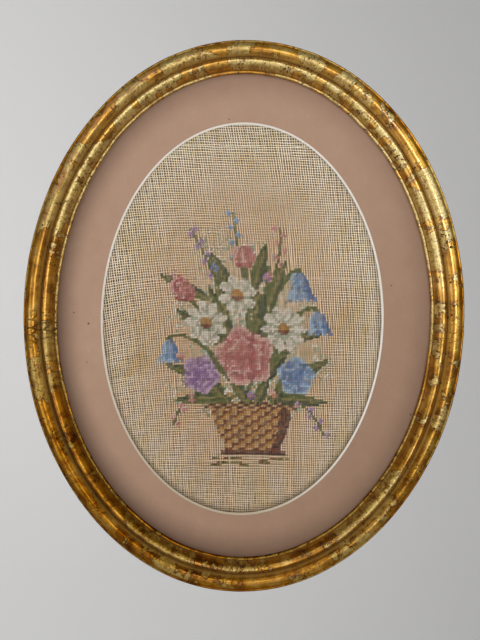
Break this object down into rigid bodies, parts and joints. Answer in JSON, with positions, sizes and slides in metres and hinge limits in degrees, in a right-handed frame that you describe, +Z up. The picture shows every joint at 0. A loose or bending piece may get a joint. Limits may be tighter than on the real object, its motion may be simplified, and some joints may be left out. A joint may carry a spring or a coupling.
{
  "type": "framed petit point needlepoint in an oval gilt picture frame",
  "caption": "Oval gilt moulding with two rounded beads, holding a dusty pink oval mount board over a stitched canvas of flowers, to hang flat on a wall.",
  "frame": {"origin": "point on the frame's flat back at the top centre of the moulding, where it meets the wall", "axes": "+Z up, +Y into the wall, the picture faces -Y, +X to the right as seen from the front"},
  "size_m": [0.264, 0.0172, 0.33],
  "materials": {
    "gilt": "gold leaf over bole, worn and toned",
    "mount_card": "matt dusty pink face, white core",
    "cotton_canvas": "plain woven mono canvas with tent stitches",
    "brown_board": "matt brown board"
  },
  "bodies": {
    "root": {"gilt_frame": "gilt", "mount_board": "mount_card", "canvas": "cotton_canvas", "backing_board": "brown_board"}
  },
  "joints": []
}
